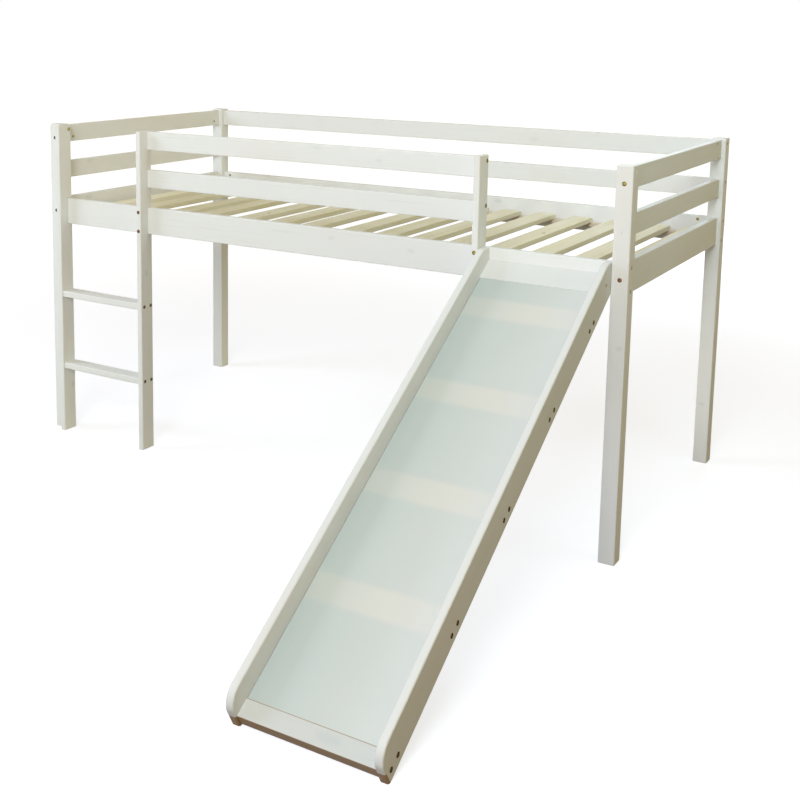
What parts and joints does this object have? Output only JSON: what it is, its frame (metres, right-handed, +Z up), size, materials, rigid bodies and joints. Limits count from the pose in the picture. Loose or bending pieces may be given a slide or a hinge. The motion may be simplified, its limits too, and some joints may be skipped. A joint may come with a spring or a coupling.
{
  "type": "mid sleeper bed",
  "caption": "Mid sleeper bed in white-washed pine with open rails all round, a slatted base, a side ladder with flat rungs and a straight slide.",
  "frame": {"origin": "on the floor, under the middle of the whole outer size, slide included", "axes": "+Z up, +X along the bed towards the slide end, -Y towards the ladder and slide side"},
  "size_m": [2.08, 2.1994, 1.1],
  "materials": {
    "painted_pine": "satin white-washed pine",
    "bare_pine": "plain sawn pine, unpainted",
    "slide_sheet": "glossy, smooth sheet"
  },
  "bodies": {
    "root": {"post_front_left": "painted_pine", "post_front_right": "painted_pine", "post_back_left": "painted_pine", "post_back_right": "painted_pine", "rail_left_top": "painted_pine", "rail_left_middle": "painted_pine", "rail_left_main": "painted_pine", "rail_right_top": "painted_pine", "rail_right_middle": "painted_pine", "rail_right_main": "painted_pine", "rail_back_top": "painted_pine", "rail_back_middle": "painted_pine", "rail_back_main": "painted_pine", "rail_front_main": "painted_pine", "guard_rail_top": "painted_pine", "guard_rail_middle": "painted_pine", "guard_post": "painted_pine", "ladder_stile_left": "painted_pine", "ladder_stile_right": "painted_pine", "ladder_rung_1": "painted_pine", "ladder_rung_2": "painted_pine", "ledger_front": "painted_pine", "ledger_back": "painted_pine", "slat_01": "bare_pine", "slat_02": "bare_pine", "slat_03": "bare_pine", "slat_04": "bare_pine", "slat_05": "bare_pine", "slat_06": "bare_pine", "slat_07": "bare_pine", "slat_08": "bare_pine", "slat_09": "bare_pine", "slat_10": "bare_pine", "slat_11": "bare_pine", "slat_12": "bare_pine", "slat_13": "bare_pine", "slat_14": "bare_pine", "slat_15": "bare_pine", "slide_side_left": "painted_pine", "slide_side_right": "painted_pine", "slide_lip": "painted_pine", "slide_header": "painted_pine", "slide_support_1": "painted_pine", "slide_support_2": "painted_pine", "slide_support_3": "painted_pine", "slide_support_4": "painted_pine", "slide_panel": "slide_sheet"}
  },
  "joints": []
}
